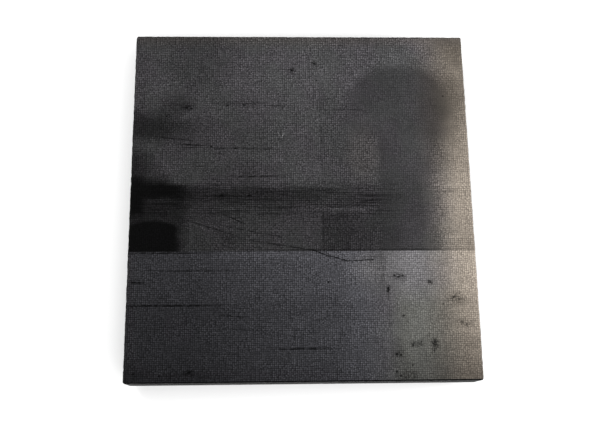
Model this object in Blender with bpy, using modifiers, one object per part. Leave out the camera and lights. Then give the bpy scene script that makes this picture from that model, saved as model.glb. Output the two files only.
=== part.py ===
"""A granite tooling slab that lies on a bench: one block of stone on four glued rubber feet.

Metres, +Z up. +X runs to the worker's right and +Y away from them. The origin is on the bench,
under the middle of the slab.
"""

import math

import bpy

# Stone
SLAB_WIDTH = 0.292  # along X
SLAB_DEPTH = 0.305  # along Y
SLAB_THICKNESS = 0.030
CORNER_RADIUS = 0.002  # of the four upright corners
TOP_ARRIS = 0.0015  # easing around the work face
BOTTOM_ARRIS = 0.0010  # easing around the underside
CORNER_STEPS = 6
ARRIS_STEPS = 4

# Rubber feet
FOOT_HEIGHT = 0.006
FOOT_TOP_DIAMETER = 0.020  # where it is glued
FOOT_SOLE_DIAMETER = 0.017  # where it stands
FOOT_TOP_ROUND = 0.0004
FOOT_SOLE_ROUND = 0.0012
FOOT_EDGE_INSET = 0.014  # from the slab's side to the nearest point of the foot
ROUND_STEPS = 4  # along each rounded rim
TURN_STEPS = 48  # around the foot

# Glue pads
PAD_THICKNESS = 0.0008
PAD_RIM = 0.001  # how far the foot stands out past its pad

# Faces that meet at less than this angle are shaded as one round surface
SHARP_ANGLE = math.radians(30.0)

# Glued faces are modelled this far apart, so that no two solids touch
GLUE_GAP = 0.0003
MERGE_DISTANCE = 0.00001

# Heights
PAD_BOTTOM = FOOT_HEIGHT + GLUE_GAP
SLAB_BOTTOM = PAD_BOTTOM + PAD_THICKNESS + GLUE_GAP
SLAB_TOP = SLAB_BOTTOM + SLAB_THICKNESS

# Foot centres, set in from the slab's sides
FOOT_X = SLAB_WIDTH / 2 - FOOT_EDGE_INSET - FOOT_TOP_DIAMETER / 2
FOOT_Y = SLAB_DEPTH / 2 - FOOT_EDGE_INSET - FOOT_TOP_DIAMETER / 2


def clear_scene():
    """Removes whatever the file held."""
    for old in list(bpy.data.objects):
        bpy.data.objects.remove(old, do_unlink=True)


def make_material(name, colour, roughness, metallic=0.0):
    """A Principled material of one plain colour."""
    material = bpy.data.materials.new(name)
    material.use_nodes = True
    shader = material.node_tree.nodes["Principled BSDF"]
    shader.inputs["Base Color"].default_value = (*colour, 1.0)
    shader.inputs["Roughness"].default_value = roughness
    shader.inputs["Metallic"].default_value = metallic
    material.diffuse_color = (*colour, 1.0)
    return material


def granite():
    return make_material("granite", (0.055, 0.053, 0.055), 0.5)


def black_rubber():
    return make_material("black_rubber", (0.020, 0.020, 0.021), 0.8)


def white_foam():
    return make_material("white_foam", (0.62, 0.61, 0.57), 0.7)


def adopt(piece, name, material, collection):
    """Names a piece, gives it its material and puts it in the object's collection only."""
    piece.name = name
    piece.data.name = name
    piece.data.materials.append(material)
    for holder in list(piece.users_collection):
        holder.objects.unlink(piece)
    collection.objects.link(piece)


def add_bevel(piece, name, group, width, segments):
    """Rounds the edges whose two ends are both in the vertex group."""
    bevel = piece.modifiers.new(name, "BEVEL")
    bevel.limit_method = "VGROUP"
    bevel.vertex_group = group
    bevel.offset_type = "OFFSET"
    bevel.width = width
    bevel.segments = segments


def stone_slab(collection):
    """The block: upright corners rounded first, then the rims of the work face and of the underside."""
    bpy.ops.mesh.primitive_cube_add(size=1.0, location=(0.0, 0.0, 0.0))
    slab = bpy.context.object
    slab.scale = (SLAB_WIDTH, SLAB_DEPTH, SLAB_THICKNESS)
    bpy.ops.object.transform_apply(location=False, rotation=False, scale=True)
    slab.location.z = SLAB_BOTTOM + SLAB_THICKNESS / 2
    adopt(slab, "stone_slab", granite(), collection)

    corners = slab.modifiers.new("upright_corners", "BEVEL")
    corners.limit_method = "WEIGHT"
    corners.width = CORNER_RADIUS
    corners.segments = CORNER_STEPS
    weights = slab.data.attributes.new("bevel_weight_edge", "FLOAT", "EDGE")
    for edge in slab.data.edges:
        low, high = (slab.data.vertices[i].co for i in edge.vertices)
        weights.data[edge.index].value = 1.0 if abs(low.z - high.z) > SLAB_THICKNESS / 2 else 0.0

    for name, side in (("work_face_rim", 1), ("underside_rim", -1)):
        group = slab.vertex_groups.new(name=name)
        group.add([v.index for v in slab.data.vertices if v.co.z * side > 0], 1.0, "REPLACE")
    add_bevel(slab, "work_face_arris", "work_face_rim", TOP_ARRIS, ARRIS_STEPS)
    add_bevel(slab, "underside_arris", "underside_rim", BOTTOM_ARRIS, ARRIS_STEPS)
    slab.data.shade_smooth()
    slab.data.set_sharp_from_angle(angle=SHARP_ANGLE)


def arc(centre_x, centre_z, radius, start_degrees, end_degrees):
    """Points along a rounded rim, from one angle to the other."""
    points = []
    for step in range(ROUND_STEPS + 1):
        angle = math.radians(start_degrees + (end_degrees - start_degrees) * step / ROUND_STEPS)
        points.append((centre_x + radius * math.cos(angle), centre_z + radius * math.sin(angle)))
    return points


def turned_mesh(name, outline):
    """A solid of revolution about Z from half an outline, given as (radius, height) down its outer side."""
    mesh = bpy.data.meshes.new(name)
    mesh.from_pydata(
        [(radius, 0.0, height) for radius, height in outline],
        [(i, i + 1) for i in range(len(outline) - 1)],
        [],
    )
    return mesh


def add_turn(piece):
    turn = piece.modifiers.new("turn", "SCREW")
    turn.axis = "Z"
    turn.angle = math.tau
    turn.steps = TURN_STEPS
    turn.render_steps = TURN_STEPS
    turn.use_merge_vertices = True
    turn.merge_threshold = MERGE_DISTANCE
    turn.use_smooth_shade = True


def foot_outline():
    """From the glued face down the tapered side to the sole, with both rims rounded."""
    top_radius = FOOT_TOP_DIAMETER / 2
    sole_radius = FOOT_SOLE_DIAMETER / 2
    lean = math.degrees(math.atan2(top_radius - sole_radius, FOOT_HEIGHT))
    top_rim = arc(top_radius - FOOT_TOP_ROUND, FOOT_HEIGHT - FOOT_TOP_ROUND, FOOT_TOP_ROUND, 90.0, 0.0)
    sole_rim = arc(sole_radius - FOOT_SOLE_ROUND, FOOT_SOLE_ROUND, FOOT_SOLE_ROUND, -lean, -90.0)
    return [(0.0, FOOT_HEIGHT), *top_rim, *sole_rim, (0.0, 0.0)]


def pad_outline():
    radius = FOOT_TOP_DIAMETER / 2 - PAD_RIM
    return [(0.0, PAD_THICKNESS), (radius, PAD_THICKNESS), (radius, 0.0), (0.0, 0.0)]


def corner_station(name, x, y, collection):
    """An empty on the bench under one corner, which carries that corner's foot and pad."""
    station = bpy.data.objects.new(f"corner_{name}", None)
    station.location = (x, y, 0.0)
    station.empty_display_size = FOOT_TOP_DIAMETER
    collection.objects.link(station)
    return station


def place_turned(mesh, name, station, height, material, collection):
    piece = bpy.data.objects.new(name, mesh)
    piece.parent = station
    piece.location.z = height
    if not mesh.materials:
        mesh.materials.append(material)
    collection.objects.link(piece)
    add_turn(piece)


def feet_and_pads(collection):
    """One foot and one glue pad under each corner. The four share their meshes."""
    foot_mesh = turned_mesh("foot", foot_outline())
    pad_mesh = turned_mesh("adhesive_pad", pad_outline())
    rubber = black_rubber()
    foam = white_foam()
    for row, y in (("front", -FOOT_Y), ("back", FOOT_Y)):
        for side, x in (("left", -FOOT_X), ("right", FOOT_X)):
            corner = f"{row}_{side}"
            station = corner_station(corner, x, y, collection)
            place_turned(foot_mesh, f"foot_{corner}", station, 0.0, rubber, collection)
            place_turned(pad_mesh, f"adhesive_pad_{corner}", station, PAD_BOTTOM, foam, collection)


def main():
    clear_scene()
    collection = bpy.data.collections.new("granite_slab")
    bpy.context.scene.collection.children.link(collection)
    stone_slab(collection)
    feet_and_pads(collection)
    print(f"slab {SLAB_WIDTH:.3f} x {SLAB_DEPTH:.3f} x {SLAB_THICKNESS:.3f} m, work face at {SLAB_TOP:.4f} m")


main()
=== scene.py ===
# %% [markdown]
# # A granite slab for leather work
#
# Leather workers stamp, punch and carve on a heavy block of stone, because stone does not bounce.
# This one is a nearly square slab of dark granite with a leathered work face, on four glued rubber
# feet. The work face carries years of dye, oil and water, a crack, scratches and small pits.
#
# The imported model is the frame. It says where each piece lies and how large it is, so no size is
# repeated here. Every piece below is a detailed stand-in for one node of that frame.

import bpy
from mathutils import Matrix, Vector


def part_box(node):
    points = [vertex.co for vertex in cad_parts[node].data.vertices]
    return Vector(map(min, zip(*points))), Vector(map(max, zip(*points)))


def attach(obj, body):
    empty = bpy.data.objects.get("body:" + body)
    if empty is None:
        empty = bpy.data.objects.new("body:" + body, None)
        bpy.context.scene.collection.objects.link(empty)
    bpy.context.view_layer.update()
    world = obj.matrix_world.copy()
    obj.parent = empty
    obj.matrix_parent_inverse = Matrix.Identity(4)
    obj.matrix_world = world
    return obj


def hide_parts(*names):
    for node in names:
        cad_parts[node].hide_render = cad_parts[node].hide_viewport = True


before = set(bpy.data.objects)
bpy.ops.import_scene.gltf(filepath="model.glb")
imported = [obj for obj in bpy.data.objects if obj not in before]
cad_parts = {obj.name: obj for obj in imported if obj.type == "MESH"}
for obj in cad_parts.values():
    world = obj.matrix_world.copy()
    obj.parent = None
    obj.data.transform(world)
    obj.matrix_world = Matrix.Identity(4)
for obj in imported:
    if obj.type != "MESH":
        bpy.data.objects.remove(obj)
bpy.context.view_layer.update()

# %% [markdown]
# ## Sizes
#
# Blender works in metres, but the marks on a stone are easier to think of in millimetres, so one
# name turns the one into the other. The slab's box gives its middle, its sides and its work face.

# %% Read the sizes from the frame
import math

import bmesh
import bpy
from mathutils import Matrix, Vector, kdtree, noise

MM = 0.001
CORNERS = ("front_left", "front_right", "back_left", "back_right")

slab_low, slab_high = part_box("stone_slab")
slab_size = slab_high - slab_low
middle = (slab_low + slab_high) / 2
work_face = slab_high.z
print("slab", [round(v / MM, 1) for v in slab_size], "mm, work face at", round(work_face / MM, 1), "mm")

# %% [markdown]
# ## Camera
#
# The slab lies flat, and the camera hangs over its front half and looks down, about 15 degrees off
# upright. The front edge then comes out wider than the back edge, as it does to someone who stands
# at the bench. The lens is a plain 50 mm with no shift and no blur.

# %% Place the camera
CAMERA_PLACE = (-0.0265, -0.1913, 0.7210)
CAMERA_TURN = (14.876, -1.866, -0.724)
CAMERA_LENS = 50.0

camera_data = bpy.data.cameras.new("bench_camera")
camera_data.lens = CAMERA_LENS
camera = bpy.data.objects.new("bench_camera", camera_data)
camera.location = CAMERA_PLACE
camera.rotation_euler = [math.radians(angle) for angle in CAMERA_TURN]
bpy.context.scene.collection.objects.link(camera)
bpy.context.scene.camera = camera
print("camera", round((Vector(CAMERA_PLACE) - middle).length, 3), "m from the middle of the slab")

# %% [markdown]
# ## Floor and light
#
# A pale floor and soft lamps make a plain studio. The key lamp stands low on the right, so that the
# stone throws its shadow to the left and the low light rakes over the relief. A broad fill comes
# from the front, where its mirror image misses the camera. A third lamp brightens the floor behind
# the slab. The dark stone would mirror a bright sky, so the sky stays dim.

# %% Build the studio
FLOOR_SIZE = 12.0
FLOOR_GREY = 0.82
SKY_GREY = 0.42
LAMPS = (
    # name, place, aim, width, height, power in watts
    ("key_lamp", (1.45, -0.12, 0.75), (0.0, 0.0, 0.0), 0.55, 0.55, 26.0),
    ("fill_lamp", (0.10, -1.05, 1.45), (0.0, 0.0, 0.0), 1.4, 1.0, 24.0),
    ("back_lamp", (-0.75, 0.70, 0.75), (-0.20, 0.20, 0.0), 0.6, 0.6, 10.0),
)


def plain_paint(name, grey):
    """A matt paint of one grey, for the floor."""
    paint = bpy.data.materials.new(name)
    paint.use_nodes = True
    shader = paint.node_tree.nodes["Principled BSDF"]
    shader.inputs["Base Color"].default_value = (grey, grey, grey, 1.0)
    shader.inputs["Roughness"].default_value = 0.9
    shader.inputs["Specular IOR Level"].default_value = 0.1
    return paint


def soft_lamp(name, place, aim, width, height, power):
    """A rectangular area lamp that faces a point."""
    lamp_data = bpy.data.lights.new(name, "AREA")
    lamp_data.shape = "RECTANGLE"
    lamp_data.size = width
    lamp_data.size_y = height
    lamp_data.energy = power
    lamp = bpy.data.objects.new(name, lamp_data)
    lamp.location = place
    lamp.rotation_euler = (Vector(aim) - Vector(place)).to_track_quat("-Z", "Y").to_euler()
    bpy.context.scene.collection.objects.link(lamp)


bpy.ops.object.select_all(action="DESELECT")
bpy.ops.mesh.primitive_plane_add(size=FLOOR_SIZE, location=(0.0, 0.0, 0.0))
floor = bpy.context.object
floor.name = "studio_floor"
floor.data.materials.append(plain_paint("floor_paint", FLOOR_GREY))

sky = bpy.data.worlds.new("studio_sky")
sky.use_nodes = True
sky.node_tree.nodes["Background"].inputs["Color"].default_value = (SKY_GREY, SKY_GREY, SKY_GREY, 1.0)
sky.node_tree.nodes["Background"].inputs["Strength"].default_value = 1.0
bpy.context.scene.world = sky
bpy.context.scene.view_settings.view_transform = "Standard"

for lamp_facts in LAMPS:
    soft_lamp(*lamp_facts)
print("studio floor", FLOOR_SIZE, "m,", len(LAMPS), "lamps")

# %% [markdown]
# ## Modelling helpers
#
# Blender's operators act on what is selected, and the loaded frame starts out selected. So each
# piece starts by clearing the selection, and one helper picks faces, edges or points by a rule on
# their place or direction, as a person would click them.

# %% Helpers for modelling


def start_clean():
    """Leaves edit mode and deselects everything."""
    if bpy.context.object and bpy.context.object.mode != "OBJECT":
        bpy.ops.object.mode_set(mode="OBJECT")
    bpy.ops.object.select_all(action="DESELECT")


def pick(kind, rule):
    """In edit mode, selects only the points, edges or faces that the rule accepts. Returns how many."""
    bpy.ops.mesh.select_mode(type=kind)
    bpy.ops.mesh.select_all(action="DESELECT")
    shape = bmesh.from_edit_mesh(bpy.context.object.data)
    shape.normal_update()
    found = 0
    for item in {"VERT": shape.verts, "EDGE": shape.edges, "FACE": shape.faces}[kind]:
        if rule(item):
            item.select_set(True)
            found += 1
    shape.select_flush_mode()
    bmesh.update_edit_mesh(bpy.context.object.data)
    return found


def push_out(offset):
    """Extrudes the selection along a straight line."""
    bpy.ops.mesh.extrude_region_move(TRANSFORM_OT_translate={"value": offset})


def near(value, target):
    """True where two lengths are the same to a hundredth of a millimetre."""
    return abs(value - target) < 0.01 * MM


def triangles(piece):
    piece.data.calc_loop_triangles()
    return len(piece.data.loop_triangles)


# %% [markdown]
# ## The block of stone
#
# The real block is sawn from a 30 mm plank of granite, its corners and rims are eased with a stone,
# and its face is leathered with diamond brushes, which leaves a soft pebbled skin. It could be a box
# with a bump map, but then its outline and its chips would be perfectly straight. So the face starts
# as a fine grid that later moves can shape. A border strip and the sides are extruded from it, and
# the corners and rims are rounded with bevels, just as the frame's block is.

# %% Extrude the block from its work face
GRID_PITCH = 1.25 * MM
BORDER = 3.0 * MM
SIDE_ROWS = 8

border_x = slab_size.x / 2 - BORDER
border_y = slab_size.y / 2 - BORDER

start_clean()
bpy.ops.mesh.primitive_grid_add(
    x_subdivisions=round(2 * border_x / GRID_PITCH),
    y_subdivisions=round(2 * border_y / GRID_PITCH),
    size=1.0,
    location=(middle.x, middle.y, work_face),
)
slab = bpy.context.object
slab.name = "leathered_granite_block"
slab.data.name = slab.name
bpy.ops.transform.resize(value=(2 * border_x, 2 * border_y, 1.0))
bpy.ops.object.transform_apply(location=True, rotation=True, scale=True)

bpy.ops.object.mode_set(mode="EDIT")
for axis, side in ((0, -1), (0, 1), (1, -1), (1, 1)):
    reach = (middle.x if axis == 0 else middle.y) + side * (border_x if axis == 0 else border_y)
    pick("EDGE", lambda e: e.is_boundary and all(near(v.co[axis], reach) for v in e.verts))
    step = [0.0, 0.0, 0.0]
    step[axis] = side * BORDER
    push_out(step)

row_heights = [BORDER] + [(slab_size.z - 2 * BORDER) / SIDE_ROWS] * SIDE_ROWS + [BORDER]
pick("EDGE", lambda e: e.is_boundary)
for height in row_heights:
    push_out((0.0, 0.0, -height))
bpy.ops.mesh.edge_face_add()
bpy.ops.mesh.select_all(action="SELECT")
bpy.ops.mesh.normals_make_consistent(inside=False)
bpy.ops.object.mode_set(mode="OBJECT")
print("block", len(slab.data.polygons), "faces")

# %% [markdown]
# The corners come first and the rims second, so that the rims run round the corners in one piece.

# %% Round the corners and ease the rims
CORNER_ROUND = 2.0 * MM
FACE_ARRIS = 1.5 * MM
SOLE_ARRIS = 1.0 * MM
CORNER_SEGMENTS = 6
FACE_ARRIS_SEGMENTS = 5
SOLE_ARRIS_SEGMENTS = 4


def at_corner(point):
    """True on the four upright corner edges."""
    return near(abs(point.x - middle.x), slab_size.x / 2) and near(abs(point.y - middle.y), slab_size.y / 2)


def on_rim(edge, height):
    """True on the edges where the level face at this height meets the sides."""
    if not all(near(v.co.z, height) for v in edge.verts):
        return False
    return min(abs(f.normal.z) for f in edge.link_faces) < 0.5


bpy.ops.object.mode_set(mode="EDIT")
pick("EDGE", lambda e: all(at_corner(v.co) for v in e.verts))
bpy.ops.mesh.bevel(offset=CORNER_ROUND, segments=CORNER_SEGMENTS, affect="EDGES")
top_edges = pick("EDGE", lambda e: on_rim(e, work_face))
bpy.ops.mesh.bevel(offset=FACE_ARRIS, segments=FACE_ARRIS_SEGMENTS, affect="EDGES")
sole_edges = pick("EDGE", lambda e: on_rim(e, slab_low.z))
bpy.ops.mesh.bevel(offset=SOLE_ARRIS, segments=SOLE_ARRIS_SEGMENTS, affect="EDGES")
bpy.ops.object.mode_set(mode="OBJECT")
print("rims of", top_edges, "and", sole_edges, "edges;", triangles(slab), "triangles")

# %% [markdown]
# A knock has taken a flake off the back left corner. Stone breaks along a flat, slightly hollow
# surface, so two cuts that meet at a shallow angle make it, each closed with a new face.

# %% Break the flake off the corner
FLAKE_CUTS = (
    # how far along the back edge, down the left edge and down the upright corner each cut reaches
    (1.6 * MM, 3.9 * MM, 3.9 * MM),
    (2.2 * MM, 2.9 * MM, 2.8 * MM),
)

flake_corner = Vector((slab_low.x, slab_high.y, slab_high.z))
bpy.ops.object.mode_set(mode="EDIT")
for along_back, along_left, down in FLAKE_CUTS:
    on_back = flake_corner + Vector((along_back, 0.0, 0.0))
    on_left = flake_corner - Vector((0.0, along_left, 0.0))
    on_upright = flake_corner - Vector((0.0, 0.0, down))
    across = (on_left - on_back).cross(on_upright - on_back).normalized()
    if across.dot(flake_corner - on_back) < 0:
        across.negate()
    bpy.ops.mesh.select_all(action="SELECT")
    bpy.ops.mesh.bisect(plane_co=on_back, plane_no=across, use_fill=True, clear_outer=True)
bpy.ops.object.mode_set(mode="OBJECT")
print("flake cut,", triangles(slab), "triangles")

# %% [markdown]
# ## Marks that go into the stone
#
# The crack and the pits are real hollows. Each is a short list of places in millimetres from the
# middle of the work face, x to the right and y away from the worker. The grid is too coarse for a
# hairline, so the faces near a hollow are first divided again.

# %% Say where the hollows are
CRACK = (
    (-104, -21), (-88, -25.5), (-68, -30.5), (-46, -34.5), (-28, -38), (-10, -41), (2, -43), (12, -45),
    (20, -48.5), (27, -50), (33, -52.2), (38, -53.2), (48, -53), (53, -52.2), (59, -52),
)
CRACK_STRONG_FROM = 8  # left of this the crack is only a faint line
CRACK_HALF_WIDTH = 0.42

PITS = (
    # x, y, half width, half height
    (107.3, -122.5, 1.7, 2.9), (106.5, -128, 0.7, 2.0), (70.7, -77.5, 1.0, 2.2), (76, -65.5, 1.0, 0.8),
    (79.5, -67, 1.2, 0.8), (83, -66, 0.9, 0.9), (105.7, -71.3, 1.2, 1.1), (82.5, -99.5, 1.0, 0.9),
    (89, -124, 0.9, 1.1), (96, -121, 0.8, 0.8), (125, -84.5, 1.3, 0.9), (129.5, -86.5, 1.2, 1.0),
    (116, -90, 0.8, 0.8), (131, -105, 1.1, 0.9), (134.5, -107, 1.2, 0.9), (75.5, -131, 1.1, 0.8),
    (79, -131.5, 0.9, 0.8), (75, -145, 1.0, 0.9), (88, -140, 0.9, 1.0), (78, -148.5, 0.9, 0.8),
    (21, -71, 0.9, 0.8), (-140, -70.5, 1.5, 0.7), (-135.5, -70.5, 1.2, 0.6), (-93, -144, 1.4, 0.9),
    (-117, -146.5, 1.0, 0.8), (-138, -145, 1.4, 0.8), (-99.5, 84.5, 1.6, 0.7), (-96, 83, 1.1, 0.7),
    (-117, 76, 0.9, 0.7), (-64, 86, 1.1, 0.8), (-50, 86.5, 1.0, 0.7), (-7.5, 119.5, 1.0, 1.1),
    (12.3, 126, 0.9, 0.9), (14, 110, 0.7, 0.8), (126, 95, 0.9, 0.8), (-68.5, 4, 1.7, 0.8),
    (-45, 4, 1.4, 0.8), (-57, 46.5, 1.1, 0.7), (-78, 48, 0.9, 0.8),
)

CRACK_MARGIN = 2.0  # how far round the crack the grid is divided
PIT_MARGIN = 2.2  # the same round a pit, in pit sizes

pit_finder = kdtree.KDTree(len(PITS))
for index, (pit_x, pit_y, _, _) in enumerate(PITS):
    pit_finder.insert((pit_x, pit_y, 0.0), index)
pit_finder.balance()

crack_low = [min(place[axis] for place in CRACK) - CRACK_MARGIN for axis in (0, 1)]
crack_high = [max(place[axis] for place in CRACK) + CRACK_MARGIN for axis in (0, 1)]


def along_crack(x, y):
    """Distance to the crack in millimetres, and the x of the nearest point on it."""
    best = (math.inf, 0.0)
    if not (crack_low[0] < x < crack_high[0] and crack_low[1] < y < crack_high[1]):
        return best
    for (start_x, start_y), (end_x, end_y) in zip(CRACK, CRACK[1:]):
        run_x, run_y = end_x - start_x, end_y - start_y
        share = ((x - start_x) * run_x + (y - start_y) * run_y) / (run_x * run_x + run_y * run_y)
        share = min(1.0, max(0.0, share))
        near_x, near_y = start_x + share * run_x, start_y + share * run_y
        best = min(best, (math.hypot(x - near_x, y - near_y), near_x))
    return best


def pit_distance(x, y):
    """0 in the middle of the nearest pit and 1 on its rim."""
    _, index, _ = pit_finder.find((x, y, 0.0))
    pit_x, pit_y, half_x, half_y = PITS[index]
    return math.hypot((x - pit_x) / half_x, (y - pit_y) / half_y)


def near_hollow(x, y):
    """True close enough to a crack or a pit for the grid to need finer faces."""
    return pit_distance(x, y) < PIT_MARGIN or along_crack(x, y)[0] < CRACK_MARGIN


# %% [markdown]
# Only the level faces near a hollow are divided, so the rest of the grid stays light. Subdivide
# joins the finer faces to their neighbours without gaps.

# %% Divide the faces round the hollows
HOLLOW_CUTS = 3


def face_place(point):
    """Millimetres from the middle of the work face."""
    return (point.x - middle.x) / MM, (point.y - middle.y) / MM


def needs_dividing(face):
    centre = face.calc_center_median()
    level = face.normal.z > 0.99 and near(centre.z, work_face) and len(face.verts) == 4
    return level and near_hollow(*face_place(centre))


bpy.ops.object.mode_set(mode="EDIT")
divided = pick("FACE", needs_dividing)
bpy.ops.mesh.subdivide(number_cuts=HOLLOW_CUTS)
bpy.ops.object.mode_set(mode="OBJECT")
print(divided, "faces divided,", triangles(slab), "triangles")

# %% [markdown]
# The hollows, the worn rim and the gentle waves of the face are three vertex groups, and each drives
# one Displace modifier. That keeps every depth in one named number. The same hollow weights are also
# stored as an attribute, from which the material darkens the crack and the pits.

# %% Weigh the points for hollows, wear and waves
CRACK_WANDER = 0.5  # how far the hairline strays from straight runs, in millimetres
FAINT_CRACK = 0.32  # depth of the faint stretch, as a share of the full depth
PIT_RAGGED = 0.35  # how much a pit's rim strays from its oval
PIT_REACH = 1.25  # where a pit's wall starts, in pit sizes
PIT_STEEPNESS = 1.6  # above 1 a pit gets a flat floor
FADE_IN = 5.0 * MM  # the waves fade out this close to the rim


def crack_weight(x, y):
    stray = noise.noise(Vector((x * 0.45, 0.0, 3.0))) * CRACK_WANDER
    distance, along = along_crack(x, y + stray)
    opening = 0.75 + 0.5 * noise.noise(Vector((x * 0.3, 7.0, 0.0)))
    strength = 1.0 if along > CRACK_STRONG_FROM else FAINT_CRACK
    return strength * max(0.0, 1.0 - distance / (2 * CRACK_HALF_WIDTH * opening))


def pit_weight(x, y):
    ragged = 1.0 + PIT_RAGGED * noise.noise(Vector((x * 0.8, y * 0.8, 1.0)))
    return max(0.0, min(1.0, PIT_STEEPNESS * (1.0 - pit_distance(x, y) * ragged / PIT_REACH)))


def rim_distance(point):
    """How far a point is inside the slab's outline."""
    return min(slab_size.x / 2 - abs(point.x - middle.x), slab_size.y / 2 - abs(point.y - middle.y))


hollows = slab.vertex_groups.new(name="hollows")
waves = slab.vertex_groups.new(name="waves")
rim = slab.vertex_groups.new(name="rim")
hollow_weights = [0.0] * len(slab.data.vertices)
for vertex in slab.data.vertices:
    inside = rim_distance(vertex.co)
    if near(vertex.co.z, work_face):
        waves.add([vertex.index], min(1.0, max(0.0, inside - FACE_ARRIS) / FADE_IN), "REPLACE")
        x, y = face_place(vertex.co)
        if near_hollow(x, y):
            hollow_weights[vertex.index] = max(crack_weight(x, y), pit_weight(x, y))
            hollows.add([vertex.index], hollow_weights[vertex.index], "REPLACE")
    if inside < FACE_ARRIS and vertex.co.z > work_face - FACE_ARRIS:
        rim.add([vertex.index], 1.0, "REPLACE")
hollow_depth = slab.data.attributes.new("hollow_depth", "FLOAT", "POINT")
hollow_depth.data.foreach_set("value", hollow_weights)
print(sum(weight > 0 for weight in hollow_weights), "points lie in a hollow")

# %% [markdown]
# The face goes first: its waves only push down and up, so they stay clear of the sides. The rim is
# worn along its own normals, and the hollows are pressed last, straight down from the waved face.

# %% Press the hollows and wear the rim
HOLLOW_DEPTH = 0.40 * MM
WAVE_DEPTH = 0.22 * MM
WAVE_LENGTH = 6.5 * MM
WAVE_MIDDLE = 0.35  # the pattern's value that leaves the face where it is
RIM_WEAR = 0.30 * MM
WEAR_LENGTH = 4.0 * MM


def cloud_pattern(name, size, depth, contrast=1.0, brightness=1.0):
    pattern = bpy.data.textures.new(name, "CLOUDS")
    pattern.noise_scale = size
    pattern.noise_depth = depth
    pattern.contrast = contrast
    pattern.intensity = brightness
    return pattern


def press(piece, name, group, strength, direction, pattern=None, level=0.0):
    """Adds and applies a Displace modifier that acts on one vertex group."""
    displace = piece.modifiers.new(name, "DISPLACE")
    displace.vertex_group = group
    displace.strength = strength
    displace.direction = direction
    displace.mid_level = level
    if pattern:
        displace.texture = pattern
        displace.texture_coords = "LOCAL"
    bpy.context.view_layer.objects.active = piece
    bpy.ops.object.modifier_apply(modifier=name)


wave_pattern = cloud_pattern("brush_waves", WAVE_LENGTH, 2)
wear_pattern = cloud_pattern("rim_wear", WEAR_LENGTH, 2, contrast=2.2, brightness=0.75)
press(slab, "face_waves", "waves", -WAVE_DEPTH, "Z", wave_pattern, WAVE_MIDDLE)
press(slab, "rim_knocks", "rim", -RIM_WEAR, "NORMAL", wear_pattern)
press(slab, "hollows", "hollows", -HOLLOW_DEPTH, "Z")

SMOOTH_BELOW = math.radians(30.0)
start_clean()
slab.select_set(True)
bpy.context.view_layer.objects.active = slab
bpy.ops.object.shade_smooth_by_angle(angle=SMOOTH_BELOW)
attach(slab, "root")
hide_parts("stone_slab")
print("slab finished,", triangles(slab), "triangles")

# %% [markdown]
# ## Rubber feet
#
# Each foot is a small moulded button, glued under a corner. It tapers towards the bench, and its
# mould leaves a thin seam round its waist, a sunk ring in its sole and a gate mark in the middle. It
# could be a turned profile, but with insets the rings stay parallel to the rim by themselves. One
# foot is modelled, and the other three are copies with a mesh of their own.

# %% Model one foot
FOOT_SIDES = 72
FOOT_TAPER = 1.5 * MM
SOLE_ROUND = 1.2 * MM
SOLE_ROUND_SEGMENTS = 6
TOP_ROUND = 0.4 * MM
TOP_ROUND_SEGMENTS = 4
SEAM_HEIGHT = 0.58  # share of the foot's height
SEAM_HALF = 0.12 * MM
SEAM_PROUD = 0.09 * MM
SOLE_STEPS = (
    # inset, then how far the new ring is pushed up into the foot
    (1.1 * MM, 0.0), (0.25 * MM, 0.35 * MM), (0.8 * MM, 0.0), (0.25 * MM, -0.35 * MM),
    (0.7 * MM, 0.0), (0.5 * MM, 0.8 * MM), (1.6 * MM, 0.0), (0.25 * MM, -0.3 * MM),
)

foot_low, foot_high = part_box("foot_front_left")
foot_middle = (foot_low + foot_high) / 2
foot_height = foot_high.z - foot_low.z
top_radius = (foot_high.x - foot_low.x) / 2
sole_radius = top_radius - FOOT_TAPER


def faces_down(face, height):
    return face.normal.z < -0.9 and near(face.calc_center_median().z, height)


start_clean()
bpy.ops.mesh.primitive_cone_add(
    vertices=FOOT_SIDES,
    radius1=sole_radius,
    radius2=top_radius,
    depth=foot_height,
    location=foot_middle,
)
foot = bpy.context.object
bpy.ops.object.transform_apply(location=True, rotation=True, scale=True)
bpy.ops.object.mode_set(mode="EDIT")
pick("EDGE", lambda e: all(near(v.co.z, foot_low.z) for v in e.verts))
bpy.ops.mesh.bevel(offset=SOLE_ROUND, segments=SOLE_ROUND_SEGMENTS, affect="EDGES")
pick("EDGE", lambda e: all(near(v.co.z, foot_high.z) for v in e.verts))
bpy.ops.mesh.bevel(offset=TOP_ROUND, segments=TOP_ROUND_SEGMENTS, affect="EDGES")
pick("FACE", lambda f: faces_down(f, foot_low.z))
for inset, lift in SOLE_STEPS:
    bpy.ops.mesh.inset(thickness=inset, depth=0.0)
    bpy.ops.transform.translate(value=(0.0, 0.0, lift))
seam_height = foot_low.z + SEAM_HEIGHT * foot_height
for height in (-SEAM_HALF, 0.0, SEAM_HALF):
    bpy.ops.mesh.select_all(action="SELECT")
    plane = (foot_middle.x, foot_middle.y, seam_height + height)
    bpy.ops.mesh.bisect(plane_co=plane, plane_no=(0.0, 0.0, 1.0))
pick("EDGE", lambda e: all(near(v.co.z, seam_height) for v in e.verts))
swell = 1.0 + SEAM_PROUD / top_radius
bpy.ops.transform.resize(value=(swell, swell, 1.0), center_override=foot_middle)
bpy.ops.object.mode_set(mode="OBJECT")
bpy.ops.object.shade_smooth_by_angle(angle=SMOOTH_BELOW)
print("one foot:", triangles(foot), "triangles,", round(2 * top_radius / MM, 1), "mm across")

# %% [markdown]
# Each copy gets its own mesh, moved to its corner by its points, so that every object stays at the
# origin. There it is tied to the body and to the frame node that it stands in for.

# %% Copy the foot to the other corners


def move_in_mesh(piece, offset):
    """Moves a piece by moving its points, so that its object stays at the origin."""
    piece.data.transform(Matrix.Translation(offset))


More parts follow.
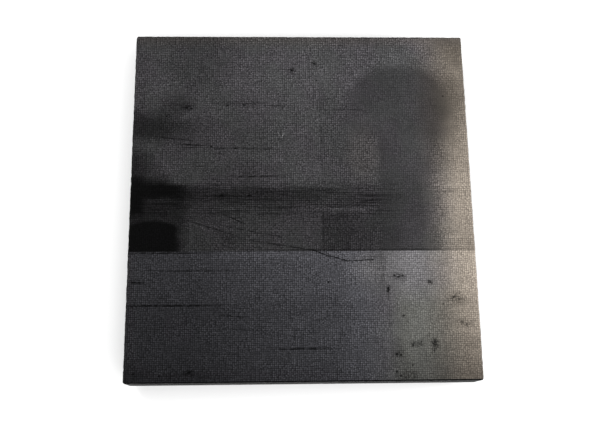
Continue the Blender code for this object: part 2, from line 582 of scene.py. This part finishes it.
def settle(piece, name, node):
    """Names a finished piece, lets it ride on the body and puts it in place of its frame node."""
    piece.name = name
    piece.data.name = name
    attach(piece, "root")
    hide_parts(node)


def copy_to_corners(first, name, node):
    """The first copy stays at the front left. The others get a mesh of their own."""
    start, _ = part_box(f"{node}_front_left")
    made = []
    for corner in CORNERS:
        piece = first
        if corner != "front_left":
            piece = bpy.data.objects.new(name, first.data.copy())
            bpy.context.scene.collection.objects.link(piece)
            low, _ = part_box(f"{node}_{corner}")
            move_in_mesh(piece, low - start)
        settle(piece, f"{name}_{corner}", f"{node}_{corner}")
        made.append(piece)
    return made


feet = copy_to_corners(foot, "moulded_foot", "foot")
print(len(feet), "feet")

# %% [markdown]
# ## Foam pads
#
# A disc of double-sided foam tape holds each foot. The weight of the stone squeezes it, so its edge
# bulges and is a little uneven. It starts as a short cylinder, gets rows of points round its edge,
# and is swelled in the middle. The points are then nudged at random with a fixed seed.

# %% Model one pad and copy it
PAD_SIDES = 72
PAD_BULGE = 0.35 * MM
PAD_CLEARANCE = 0.03 * MM  # a hair's breadth to the rubber and to the stone
PAD_ROWS = (0.18, 0.5, 0.82)
PAD_UNEVEN = 0.12 * MM
PAD_SEED = 4
PAD_EDGE = 0.1 * MM  # points nearer than this to the glued faces stay where they are
PAD_INSET = 2.0 * MM

pad_low, pad_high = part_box("adhesive_pad_front_left")
pad_radius = (pad_high.x - pad_low.x) / 2
pad_bottom = foot_high.z + PAD_CLEARANCE
pad_top = slab_low.z - PAD_CLEARANCE
pad_middle = Vector((foot_middle.x, foot_middle.y, (pad_bottom + pad_top) / 2))

start_clean()
bpy.ops.mesh.primitive_cylinder_add(
    vertices=PAD_SIDES, radius=pad_radius, depth=pad_top - pad_bottom, location=pad_middle
)
pad = bpy.context.object
bpy.ops.object.transform_apply(location=True, rotation=True, scale=True)
bpy.ops.object.mode_set(mode="EDIT")
for share in PAD_ROWS:
    height = pad_bottom + share * (pad_top - pad_bottom)
    bpy.ops.mesh.select_all(action="SELECT")
    bpy.ops.mesh.bisect(plane_co=(0.0, 0.0, height), plane_no=(0.0, 0.0, 1.0))
    pick("VERT", lambda v: near(v.co.z, height))
    swell = 1.0 + math.sin(math.pi * share) * PAD_BULGE / pad_radius
    bpy.ops.transform.resize(value=(swell, swell, 1.0), center_override=pad_middle)
pick("VERT", lambda v: pad_bottom + PAD_EDGE < v.co.z < pad_top - PAD_EDGE)
bpy.ops.transform.vertex_random(offset=PAD_UNEVEN, seed=PAD_SEED)
for height in (pad_bottom, pad_top):
    pick("FACE", lambda f: abs(f.normal.z) > 0.9 and near(f.calc_center_median().z, height))
    bpy.ops.mesh.inset(thickness=PAD_INSET, depth=0.0)
bpy.ops.object.mode_set(mode="OBJECT")
bpy.ops.object.shade_smooth_by_angle(angle=SMOOTH_BELOW)
pads = copy_to_corners(pad, "foam_disc", "adhesive_pad")
print(len(pads), "pads,", round((pad_top - pad_bottom) / MM, 2), "mm thick")

# %% [markdown]
# ## Shader maths
#
# A stone like this is painted in many thin layers, and a node tree for it would be a wall of boxes.
# Written as sums it stays readable. One small class holds an output socket, so that 1 - mask or
# mask * depth adds the Math nodes by itself. Every other node comes from its one method.

# %% The class that wraps a socket


class Wire:
    """An output socket. Sums on it add Math nodes to its tree."""

    def __init__(self, socket):
        self.socket = socket

    def node(self, kind, settings, sockets, output=0):
        """Adds a node to the tree: first its settings, then its sockets' values or links."""
        tree = self.socket.id_data
        made = tree.nodes.new(kind)
        stops = settings.pop("stops", ())
        for name, value in settings.items():
            setattr(made, name, value)
        for index, (position, grey) in enumerate(stops):
            ends = made.color_ramp.elements
            stop = ends[0] if index == 0 else ends[-1] if index == len(stops) - 1 else ends.new(position)
            stop.position = position
            stop.color = (grey, grey, grey, grey)
        for name, value in sockets.items():
            if isinstance(value, Wire):
                tree.links.new(value.socket, made.inputs[name])
            else:
                made.inputs[name].default_value = value
        return Wire(made.outputs[output])

    def sum(self, operation, first, second=0.0):
        return self.node("ShaderNodeMath", {"operation": operation}, {0: first, 1: second})

    def vector(self, operation, sockets, output=0):
        return self.node("ShaderNodeVectorMath", {"operation": operation}, sockets, output)

    def __add__(self, other):
        return self.sum("ADD", self, other)

    def __sub__(self, other):
        return self.sum("SUBTRACT", self, other)

    def __rsub__(self, other):
        return self.sum("SUBTRACT", other, self)

    def __mul__(self, other):
        return self.sum("MULTIPLY", self, other)

    __radd__ = __add__
    __rmul__ = __mul__


# %% [markdown]
# Three kinds of shape are enough for all the marks: a step where one tone passes into another, a
# band between two steps, and an oval. A stretched oval is a scratch. The rest is noise.

# %% Shapes and patterns for marks
FULL_GREY = 255  # screen greys run from 0 to this


def rise(value, start, end):
    """0 before start and 1 past end, with an S-shaped slope between. It falls if end comes first."""
    settings = {"interpolation_type": "SMOOTHSTEP"}
    return value.node("ShaderNodeMapRange", settings, {"Value": value, "From Min": start, "From Max": end})


def band(value, low, high, soft):
    """1 between two values, with slopes of the given length centred on them."""
    half = soft / 2
    return rise(value, low - half, low + half) * rise(value, high + half, high - half)


def oval(place, x, y, half_x, half_y, turn=0.0, soft=0.5):
    """1 inside an oval. Its rim fades from 1 - soft to 1 + soft of its size."""
    cosine, sine = math.cos(math.radians(turn)), math.sin(math.radians(turn))
    axes = ((cosine / half_x, sine / half_x, 0.0), (-sine / half_y, cosine / half_y, 0.0))
    away = place.vector("SUBTRACT", {0: place, 1: (x, y, 0.0)})
    along, across = [away.vector("DOT_PRODUCT", {0: away, 1: axis}, 1) for axis in axes]
    squares = along * along + across * across
    return rise(squares.sum("SQRT", squares), 1.0 + soft, 1.0 - soft)


def cloud(place, pitch, detail=2.0, roughness=0.5, stretch=(1.0, 1.0, 1.0), output=0):
    """Noise with patches of about one pitch, in millimetres, longer along any stretched axis."""
    scale = [1.0 / (pitch * part) for part in stretch]
    spread = place.vector("MULTIPLY", {0: place, 1: scale})
    sockets = {"Vector": spread, "Scale": 1.0, "Detail": detail, "Roughness": roughness}
    return spread.node("ShaderNodeTexNoise", {}, sockets, output)


def strayed(place, pitch, amount):
    """The same places, each moved by up to about half the amount, so that edges drawn there wander."""
    push = cloud(place, pitch, 3.0, 0.6, output=1)
    centred = push.vector("SUBTRACT", {0: push, 1: (0.5, 0.5, 0.5)})
    return centred.vector("MULTIPLY_ADD", {0: centred, 1: (amount, amount, 0.0), 2: place})


def profile(value, stops):
    """A grey that follows a value through given stops, each a value and a screen grey up to 255.

    The ramp's second output is read, because that one is a plain number and not a colour.
    """
    first, last = stops[0][0], stops[-1][0]
    share = value.node("ShaderNodeMapRange", {}, {"Value": value, "From Min": first, "From Max": last})
    greys = [((at - first) / (last - first), grey / FULL_GREY) for at, grey in stops]
    return share.node("ShaderNodeValToRGB", {"stops": greys}, {"Fac": share}, 1)


def over(under, mask, grey):
    """Paints a screen grey over a layer where the mask is 1."""
    return under + mask * (grey / FULL_GREY - under)


def shape_axes(place):
    """The x and y of a place as two wires."""
    return [place.node("ShaderNodeSeparateXYZ", {}, {"Vector": place}, axis) for axis in (0, 1)]


def new_finish(name):
    """A material, its shader, and its points in millimetres from the object's origin."""
    finish = bpy.data.materials.new(name)
    finish.use_nodes = True
    tree = finish.node_tree
    shader = tree.nodes["Principled BSDF"]
    metres = Wire(tree.nodes.new("ShaderNodeTexCoord").outputs["Object"])
    place = metres.vector("SCALE", {0: metres, "Scale": 1.0 / MM})
    return finish, shader, place


def connect(value, shader, socket):
    shader.id_data.links.new(value.socket, shader.inputs[socket])


print("shader helpers ready")

# %% [markdown]
# ## The leathered face
#
# The tones are painted as screen greys and turned into reflectance at the very end, because greys
# are what the eye compares. A water line crosses the slab. Below it the stone was scrubbed and came
# out lighter, above it years of oil have darkened it, and the right side is pale with hard water and
# a painted sheen. Each part starts with one profile across and one profile up.

# %% Ground tones above and below the water line
WATER_LINE = -44.5

granite, granite_shader, place = new_finish("leathered_granite")
flat = place.vector("MULTIPLY", {0: place, 1: (1.0, 1.0, 0.0)})
loose = strayed(flat, 22.0, 9.0)
ragged = strayed(loose, 5.0, 2.6)
x, y = shape_axes(flat)
loose_x, loose_y = shape_axes(loose)
ragged_x, ragged_y = shape_axes(ragged)

oiled_up = profile(y, ((-45, 58), (-30, 60), (-5, 58), (20, 72), (50, 71), (85, 75), (110, 80), (152, 78)))
oiled_across = profile(x, ((-146, 205), (-100, 210), (-60, 225), (-25, 240), (0, 250), (146, 250)))
oiled = oiled_up * oiled_across

# Below the line this profile grows lighter to the right. Its right end is the painted sheen of the right
# side, with a bloom of hard water.
scrubbed_and_sheen_across = profile(
    loose_x,
    ((-146, 52), (-90, 53), (-60, 59), (-30, 65), (0, 70), (30, 76), (45, 86), (66, 94), (76, 98),
     (90, 120), (106, 118), (118, 125), (130, 150), (146, 167)),
)
scrubbed_up = profile(
    y, ((-152, 180), (-135, 198), (-120, 208), (-105, 214), (-90, 218), (-80, 238), (-60, 252), (-44, 255))
)
scrubbed_and_sheen = scrubbed_and_sheen_across * scrubbed_up

above_line = rise(y + (ragged_y - loose_y) * 0.3, WATER_LINE - 0.7, WATER_LINE + 0.7)
tone = scrubbed_and_sheen + above_line * (oiled - scrubbed_and_sheen)
print("ground tones on", len(granite.node_tree.nodes), "nodes")

# %% [markdown]
# The oil and dye above the line lie in soft clouds. The strongest are at the left, where a bottle
# must have stood: a black band, a dark field under it and a black block on the water line.

# %% Dye and oil above the water line
OIL_CLOUDS = (
    # x, y, half width, half height, turn, softness, grey, strength
    (-92, 128, 26, 32, 0, 0.5, 57, 0.7),
    (-146, 67, 50, 12, -3, 0.6, 33, 0.85),
    (-112, 84, 14, 8, 25, 0.7, 42, 0.7),
    (-146, 28, 18, 15, 0, 0.7, 31, 0.8),
    (-60, 58, 34, 14, 0, 0.7, 58, 0.5),
    (-62, 24, 38, 10, 0, 0.7, 53, 0.6),
    (-44, 4.5, 60, 7, 0, 0.6, 33, 0.7),
    (45, 3, 62, 8, 0, 0.7, 50, 0.6),
    (34, -30, 17, 16, 0, 0.7, 42, 0.6),
    (-62, -32, 10, 7, 0, 0.7, 43, 0.5),
)

for cloud_x, cloud_y, half_x, half_y, turn, soft, grey, strength in OIL_CLOUDS:
    oil = oval(loose, cloud_x, cloud_y, half_x, half_y, turn, soft) * strength
    tone = over(tone, above_line * oil, grey)

block = band(x + (ragged_x - x) * 0.2, 17.5, 40, 3) * rise(ragged_y, -4, -9) * above_line
tone = over(tone, block * 0.35, 40)
wall = rise(loose_x, 64, 70) * rise(loose_x, 118, 106) * rise(loose_y, 68, 58) * above_line
wall_tone = profile(loose_x, ((64, 60), (76, 64), (92, 70), (106, 76)))
wall_tone = wall_tone * (0.92 + rise(loose_y, 0, 50) * 0.08)
tone = tone + wall * 0.85 * (wall_tone - tone)
round_top = oval(loose, 88, 78, 46, 48, 0, 0.14)
shoulders = rise(loose_x, 36, 50) * rise(loose_y, 108, 84) * rise(loose_x, 92, 80)
dome = (round_top + shoulders * (1 - round_top)) * rise(loose_y, 52, 64)
tone = over(tone, dome * 0.8, 66)
arch = oval(loose, 64, 104, 26, 20, 10, 0.6) * dome
tone = over(tone, arch * 0.3, 52)
tone = over(tone, band(loose_x, 42, 67, 4) * band(loose_y, 19, 56, 7) * 0.7, 73)
tone = over(tone, band(loose_x, 17.5, 42, 4) * band(loose_y, 16, 95, 10) * 0.35, 62)

left_field = rise(loose_x, -92, -106) * rise(loose_y, 16, 6) * above_line
tone = over(tone, left_field * 0.9, 31)
tone = over(tone, rise(loose_x, -130, -139) * rise(loose_y, 24, 12) * rise(loose_y, -16, -9) * 0.95, 12)
tail = rise(ragged_x, -84, -112)
tone = over(tone, tail * band(ragged_y, 2.5, 14, 5) * 0.95, 12)
tone = over(tone, rise(ragged_x, -104, -122) * rise(loose_y, 26, 12) * rise(ragged_y, 0, 5) * 0.8, 14)
block_top = ragged_y + (loose_x + 130) * (loose_x + 130) * 0.007
corner_block = rise(block_top, -16, -20) * rise(loose_x, -101, -108)
tone = over(tone, corner_block * above_line * 0.95, 12)
tone = over(tone, oval(ragged, -140, -16, 5, 4, 0, 0.5) * 0.6, 28)
tone = tone * (1 - rise(loose_x, -130, -148) * rise(loose_y, 24, 44) * 0.05)
print("oil on", len(granite.node_tree.nodes), "nodes")

# %% [markdown]
# Wiping the oil along the bench has drawn it out into fine level streaks, strongest in the dark
# band across the middle. Noise that is stretched forty times one way makes them.

# %% Wiped streaks
wiped = cloud(strayed(flat, 30.0, 3.0), 1.1, 3.0, 0.6, (40.0, 1.0, 1.0))
wiped_zone = band(loose_y, -14, 14, 12) * rise(loose_x, 112, 60) * above_line
tone = tone * (1 - wiped_zone * rise(wiped, 0.44, 0.66) * 0.42)
tone = tone * (1 + rise(wiped, 0.58, 0.72) * band(loose_y, -30, 60, 30) * rise(loose_x, 118, 80) * 0.10)
tone = tone * (1 - band(y + (ragged_y - loose_y) * 0.3, -44.6, -43.2, 1.0) * rise(x, -60, 0) * 0.30)
print("streaks on", len(granite.node_tree.nodes), "nodes")

# %% [markdown]
# Below the line the marks are paler and greener. The right side is pale with a bloom of hard water
# and a painted sheen, which start as a thin warm band high up and are strongest at the line. The
# front arris carries painted shade, a black line.

# %% Water marks on the scrubbed part, painted sheen on the right side, painted shade on the front arris
below_line = 1 - above_line
tone = over(tone, oval(loose, -5, -48.5, 60, 4, 0, 0.7) * below_line * 0.4, 84)
tone = over(tone, oval(loose, 88, -56, 16, 12, 0, 0.6) * below_line * 0.4, 124)
column = rise(ragged_x, 66, 71) * rise(loose_x, 112, 98) * rise(loose_y, -50, -66)
tone = over(tone, column * below_line * 0.30, 104)
tone = over(tone, oval(ragged, 66, -60, 3.5, 20, 0, 0.6) * below_line * 0.5, 72)
tone = over(tone, oval(ragged, 71, -108, 1.6, 30, 1, 0.6) * below_line * 0.35, 62)
tone = over(tone, oval(loose, 52, -61, 14, 8, 0, 0.7) * below_line * 0.4, 112)
tone = over(tone, oval(ragged, 76, -130, 5, 12, 0, 0.6) * 0.3, 52)
tone = over(tone, oval(loose, 126, -121, 18, 7, 0, 0.6) * 0.35, 92)
tone = over(tone, oval(ragged, -142, -146, 16, 6, 0, 0.6) * below_line * 0.4, 28)
tone = over(tone, oval(ragged, -95, -149, 22, 4, 0, 0.6) * below_line * 0.4, 28)

tone = over(tone, rise(loose_x, 30, 90) * rise(y, -112, -150) * below_line * 0.45, 62)
# The right side's pale band is a bloom of hard water with a painted sheen. Its edge is stored like a
# grey, so that times FULL_GREY it is a place in millimetres
sheen_bloom_edge = profile(
    y, ((-45, 116), (10, 117), (50, 125), (80, 133), (96, 134), (110, 132), (124, 115), (152, 86))
)
sheen_bloom_across = rise(loose_x - sheen_bloom_edge * FULL_GREY, -17, 20)
sheen_bloom_up = profile(
    y, ((-45, 131), (0, 149), (35, 139), (65, 133), (95, 119), (118, 119), (132, 104), (152, 92))
)
sheen_bloom = sheen_bloom_across * above_line
tone = tone + sheen_bloom * (sheen_bloom_up - tone)
tone = over(tone, oval(loose, 86, 132, 16, 9, 0, 0.7) * 0.4, 94)
tone = over(tone, oval(ragged, 36, -9.5, 19, 2.2, 0, 0.5) * 0.45, 68)
tone = over(tone, oval(loose, 63, -30, 20, 14, 0, 0.6) * above_line * 0.35, 42)
# The black line on the front arris is painted shade.
tone = over(tone, rise(y, -151.0, -151.8) * 0.94, 4)
print("water marks on", len(granite.node_tree.nodes), "nodes")

# %% [markdown]
# Scratches are long thin ovals. They are shallow and only catch a little dirt, so they are painted
# and not pressed. A broad noise breaks them up, because a tool skips as it slides.

# %% Scratches
SCRATCHES = (
    # x, y, half length, half width, turn, strength. A strength below zero is a pale scratch.
    (-38, 21, 24, 0.6, 0, 0.45), (-60, 46.5, 44, 0.6, -1, 0.32), (-94, 49.5, 14, 0.6, -4, 0.45),
    (-108, 55, 16, 0.6, -6, 0.4), (-112, -90, 42, 0.6, 0, 0.6), (-90, -61, 36, 0.5, 0, 0.42),
    (-57, -99.2, 9, 0.6, -6, 0.4), (0, -126, 22, 0.8, 0, 0.45), (-58, -16.5, 10, 0.6, -24, 0.45),
    (-78, -24, 22, 0.5, -18, 0.35), (-40, -28, 26, 0.5, -12, 0.3), (-18, -39.5, 30, 0.5, -9, 0.35),
    # The two pale strokes at x -19 and -16, y 58.5 make a V that is a painted glint.
    (17.5, -26, 0.7, 18, 0, 0.2), (17.5, 60, 0.6, 34, 0, 0.22), (-19, 58.5, 0.5, 3.5, 25, -0.5),
    (-16, 58.5, 0.5, 3.5, -25, -0.5), (36, -8.5, 20, 0.7, -2, -0.3), (60, -8, 14, 0.5, 0, -0.2),
    (-118, -45.8, 34, 0.6, 0, 0.45), (-20, 86, 12, 0.6, 0, 0.2), (36, 82, 16, 0.6, 1, 0.25),
    (-52, -110, 16, 0.6, -3, 0.25), (-124, 104, 24, 0.6, 14, -0.2), (-130, 97, 16, 0.5, 20, -0.16),
    (131, 13, 18, 0.6, 0, -0.18), (130, 7, 18, 0.6, 1, 0.14), (128, -33, 16, 0.6, 0, -0.12),
)

SCRATCH_DARKNESS = 1.3

scored = strayed(flat, 14.0, 1.2)
scars = None
for scar_x, scar_y, half_x, half_y, turn, strength in SCRATCHES:
    scar = oval(scored, scar_x, scar_y, half_x, half_y, turn, 0.6) * strength
    scars = scar if scars is None else scars + scar
broken = rise(cloud(flat, 5.0, 2.0), 0.36, 0.60)
scars = scars * (broken * 0.7 + 0.3)
tone = tone * (1 - scars * SCRATCH_DARKNESS)
print("scratches on", len(granite.node_tree.nodes), "nodes")

# %% [markdown]
# Round many pits the stone has gone dark and crumbly. These smudges are ovals broken up by a fine
# noise. The hollows themselves take their darkness from the depth stored on the points.

# %% Smudges and hollows
SMUDGES = (
    # x, y, half width, half height, strength
    (107.3, -123, 3.2, 5.0, 0.6), (127.5, -85.5, 7.5, 5.0, 0.4), (132.5, -106, 6.5, 4.0, 0.36),
    (79.5, -66.5, 6.0, 3.0, 0.42), (70.7, -77, 1.8, 4.0, 0.6), (77, -131, 4.0, 2.4, 0.42),
    (93, -122.5, 5.5, 2.4, 0.45), (105.7, -71.5, 2.2, 2.2, 0.6), (-99, 85, 6.0, 3.5, 0.5),
    (-50, 88, 17.0, 2.4, 0.35), (-7.6, 119, 2.6, 3.2, 0.5), (12.2, 126, 2.2, 2.6, 0.5),
    (-69, 4, 5.0, 1.6, 0.6), (-138, -70.5, 6.0, 1.8, 0.6), (-93, -144.5, 5.0, 2.2, 0.6),
    (-17, 56, 3.0, 3.0, 0.3), (84, -148, 9.0, 3.0, 0.45),
)

HOLLOW_DARKNESS = 0.62  # and less in the pale bloom and painted sheen at the right

crumbled = strayed(flat, 4.0, 2.4)
smudge = None
for spot_x, spot_y, half_x, half_y, strength in SMUDGES:
    spot = oval(crumbled, spot_x, spot_y, half_x, half_y, 0, 0.6) * strength
    smudge = spot if smudge is None else smudge + spot
crumbs = rise(cloud(flat, 1.6, 3.0, 0.7), 0.40, 0.62)
tone = tone * (1 - smudge * crumbs)
hollow = tone.node("ShaderNodeAttribute", {"attribute_name": "hollow_depth"}, {}, 2)
hollow_shade = rise(hollow, 0.05, 0.7) * (HOLLOW_DARKNESS - rise(x, 60, 110) * 0.3)
tone = tone * (1 - hollow_shade)
print("smudges on", len(granite.node_tree.nodes), "nodes")

# %% [markdown]
# Last comes the grain. Pebbles lie less than 2 mm apart in loose rows, like a coarse weave. Each has
# a tone of its own, because some crystals take the dye and some do not, and dirt stays in the dips
# between them. Faint brush lines run both ways. Where the stone is most oiled the grain is filled
# and nearly smooth, and elsewhere it comes and goes in patches.

# %% Grain of the leathered skin
PEBBLE_PITCH = 1.7
PEBBLE_TONES, PEBBLE_DIPS, FINE_GRAIN = 0.45, 0.70, 0.3  # how strongly each one shows

bent = strayed(flat, 4.0, 0.7)
pebble_sockets = {"Vector": bent, "Scale": 1.0 / PEBBLE_PITCH, "Randomness": 0.36}
pebble_distance = bent.node("ShaderNodeTexVoronoi", {"voronoi_dimensions": "2D"}, pebble_sockets)
pebble_colour = bent.node("ShaderNodeTexVoronoi", {"voronoi_dimensions": "2D"}, pebble_sockets, 1)
pebble_tone = pebble_colour.node("ShaderNodeSeparateColor", {}, {"Color": pebble_colour})
pebbles = rise(pebble_distance, 0.66, 0.08)
fine = cloud(flat, 1.1, 2.0, 0.6)
brush_across = cloud(flat, 1.3, 2.0, 0.5, (12.0, 1.0, 1.0))
brush_up = cloud(flat, 1.3, 2.0, 0.5, (1.0, 12.0, 1.0))
mottle = cloud(flat, 13.0, 4.0, 0.6)
streaks = (brush_across - 0.5) * 0.32 + (brush_up - 0.5) * 0.32
filled = 0.12 + (wall + dome * (1 - wall)) * 0.38 + rise(loose_x, 30, 90) * below_line * 0.32
filled = filled + rise(loose_x, 100, 135) * 0.34 * above_line
pebble_skin = (pebble_tone - 0.5) * pebbles * PEBBLE_TONES + (pebbles - 0.5) * PEBBLE_DIPS
skin = pebble_skin + (fine - 0.5) * FINE_GRAIN + streaks
patches = 0.75 + rise(cloud(flat, 17.0, 3.0, 0.6), 0.36, 0.60) * 0.4
grain = skin * patches * (1 - filled) + (mottle - 0.5) * 0.22
tone = tone * (1 + grain)
print("grain on", len(granite.node_tree.nodes), "nodes")

# %% [markdown]
# Tints are ratios of red, green and blue. The stone itself is a cool grey, the bloom and painted sheen
# at the right are beige, the far rim is brownish, and a green cast lies on the lower right.

# %% Tints and the final colour
LAMP_SCALE = 0.792  # the studio's lamps make a painted grey read lighter than its number
SCREEN_GAMMA = 2.2


def mixed(mask, under, above):
    """One colour where the mask is 0 and the other where it is 1."""
    return mask.node("ShaderNodeMix", {"data_type": "RGBA"}, {"Factor": mask, 6: under, 7: above}, 2)


def tinted(under, mask, tint):
    """Mixes a colour towards a tint where the mask is 1."""
    return mixed(mask, under, (*tint, 1.0))


def reflectance(tone, tint):
    """A screen grey with a tint, turned into the reflectance that the shader wants."""
    paint = tone.vector("SCALE", {0: tint, "Scale": tone})
    return paint.node("ShaderNodeGamma", {}, {"Color": paint, "Gamma": SCREEN_GAMMA})


cast = cloud(flat, 34.0, 2.0, 0.5)
tint = tinted((1.0, 0.998, 1.009, 1.0), rise(cast, 0.40, 0.60), (1.012, 0.988, 1.022))
tint = tinted(tint, band(loose_x, -146, 60, 30) * below_line, (0.993, 0.99, 1.04))
tint = tinted(tint, oval(loose, 80, -60, 34, 20, 0, 0.6), (1.01, 0.995, 1.01))
tint = tinted(tint, rise(loose_x, 66, 84) * rise(loose_y, -66, -96), (1.0, 1.0, 0.965))
tint = tinted(tint, oval(loose, 54, 42, 14, 24, 0, 0.6) * 0.8, (1.03, 0.995, 0.995))
# Beige tint of the right side's hard-water bloom and painted sheen
tint = tinted(tint, rise(loose_x, 92, 138), (1.07, 1.0, 0.92))
tint = tinted(tint, rise(y, 138, 151) * 0.5, (1.05, 0.99, 0.95))

face_colour = reflectance(tone * LAMP_SCALE, tint)
print("tints on", len(granite.node_tree.nodes), "nodes")

# %% [markdown]
# ## Sides and underside
#
# The sides were only honed and the underside is as the saw left it. There the crystals of the
# granite show: dark grains with a few pale ones, all cut through in three dimensions, so this
# pattern uses the whole place and not only its flat part.

# %% Crystals on the cut sides
CRYSTAL_PITCH = 1.5

height_mm = place.node("ShaderNodeSeparateXYZ", {}, {"Vector": place}, 2)
crystal_sockets = {"Vector": strayed(place, 2.0, 0.7), "Scale": 1.0 / CRYSTAL_PITCH}
crystal_colour = place.node("ShaderNodeTexVoronoi", {}, crystal_sockets, 1)
crystal = crystal_colour.node("ShaderNodeSeparateColor", {}, {"Color": crystal_colour})
cut_tone = profile(crystal, ((0, 10), (0.45, 17), (0.8, 27), (0.93, 38), (1, 58)))
cut_tone = cut_tone * (0.8 + cloud(place, 0.7, 3.0) * 0.4)
sawn = rise(height_mm, slab_low.z / MM + 0.9, slab_low.z / MM + 0.1)
saw_lines = cloud(place, 1.2, 2.0, 0.5, (1.0, 30.0, 1.0))
cut_tone = cut_tone * (1 + sawn * (0.35 + (saw_lines - 0.5) * 0.5))
on_face = rise(height_mm, work_face / MM - 1.5, work_face / MM - 0.7)
flake_x, flake_y = flake_corner.x / MM, flake_corner.y / MM
flake = oval(flat, flake_x, flake_y, 2.6, 4.2, 0, 0.12)
cut_tone = cut_tone * (1 + flake * 0.5)
cut_colour = reflectance(cut_tone, (1.0, 0.99, 0.985))
connect(mixed(on_face, cut_colour, face_colour), granite_shader, "Base Color")
print("sides on", len(granite.node_tree.nodes), "nodes")

# %% [markdown]
# The oiled face is a little glossier than the sawn underside. The relief is too fine for the mesh,
# so a bump gives it: pebbles and brush lines on the face, a sawn roughness on the rest.

# %% Gloss and relief of the stone
PEBBLE_RELIEF = 0.10 * MM
STONE_ROUGHNESS = 0.56


def bumped(height, shader, strength, depth):
    """Gives a shader a fine relief from a height that runs from about 0 to 1."""
    sockets = {"Strength": strength, "Distance": depth, "Height": height}
    connect(height.node("ShaderNodeBump", {}, sockets), shader, "Normal")


def wear_finish(pieces, finish):
    """Gives pieces their final material in place of the plain one."""
    for piece in pieces:
        piece.data.materials.clear()
        piece.data.materials.append(finish)


gloss = STONE_ROUGHNESS - on_face * 0.04 + (fine - 0.5) * 0.18 + sawn * 0.25
connect(gloss, granite_shader, "Roughness")
granite_shader.inputs["Specular IOR Level"].default_value = 0.03
relief = pebbles * 0.6 + (fine - 0.5) * 0.5 + streaks * 0.6
cut_relief = cloud(place, 0.8, 3.0) * 0.25 + sawn * saw_lines * 0.8
height = cut_relief + on_face * (relief - cut_relief)
bumped(height, granite_shader, 1.0, PEBBLE_RELIEF)
wear_finish([slab], granite)
print("granite finished on", len(granite.node_tree.nodes), "nodes")

# %% [markdown]
# ## Rubber and foam
#
# Moulded rubber is nearly black, with a fine skin from the mould. The sole is scuffed grey where it
# touches the bench.

# %% Rubber
RUBBER_RELIEF = 0.04 * MM
RUBBER_GREY = 0.13
SCUFF_HEIGHT = 1.1  # millimetres above the bench

rubber, rubber_shader, place = new_finish("moulded_rubber")
height_mm = place.node("ShaderNodeSeparateXYZ", {}, {"Vector": place}, 2)
skin = cloud(place, 0.35, 3.0, 0.6)
dust = rise(cloud(place, 2.4, 4.0, 0.65), 0.45, 0.75)
scuffed = rise(height_mm, SCUFF_HEIGHT, 0.0)
rubber_tone = RUBBER_GREY + (skin - 0.5) * 0.05 + dust * 0.06 + scuffed * dust * 0.22 + scuffed * 0.05
connect(reflectance(rubber_tone, (1.0, 0.99, 0.97)), rubber_shader, "Base Color")
connect(0.62 + dust * 0.2 + (skin - 0.5) * 0.2, rubber_shader, "Roughness")
bumped(skin, rubber_shader, 0.7, RUBBER_RELIEF)
wear_finish(feet, rubber)
print("rubber on", len(rubber.node_tree.nodes), "nodes")

# %% [markdown]
# The foam is off-white with open pores, and it has yellowed in patches.

# %% Foam
FOAM_RELIEF = 0.08 * MM
FOAM_GREY = 0.80
PORE_PITCH = 0.35

foam, foam_shader, place = new_finish("white_tape_foam")
pores = place.node("ShaderNodeTexVoronoi", {}, {"Vector": place, "Scale": 1.0 / PORE_PITCH})
open_pore = rise(pores, 0.42, 0.15)
age = cloud(place, 3.0, 3.0)
foam_tone = FOAM_GREY - open_pore * 0.22 + (age - 0.5) * 0.14
foam_tint = tinted((1.0, 0.99, 0.96, 1.0), rise(age, 0.4, 0.7), (1.0, 0.95, 0.84))
connect(reflectance(foam_tone, foam_tint), foam_shader, "Base Color")
connect(0.7 + open_pore * 0.2, foam_shader, "Roughness")
bumped(pores, foam_shader, 0.8, FOAM_RELIEF)
wear_finish(pads, foam)
print("foam on", len(foam.node_tree.nodes), "nodes")
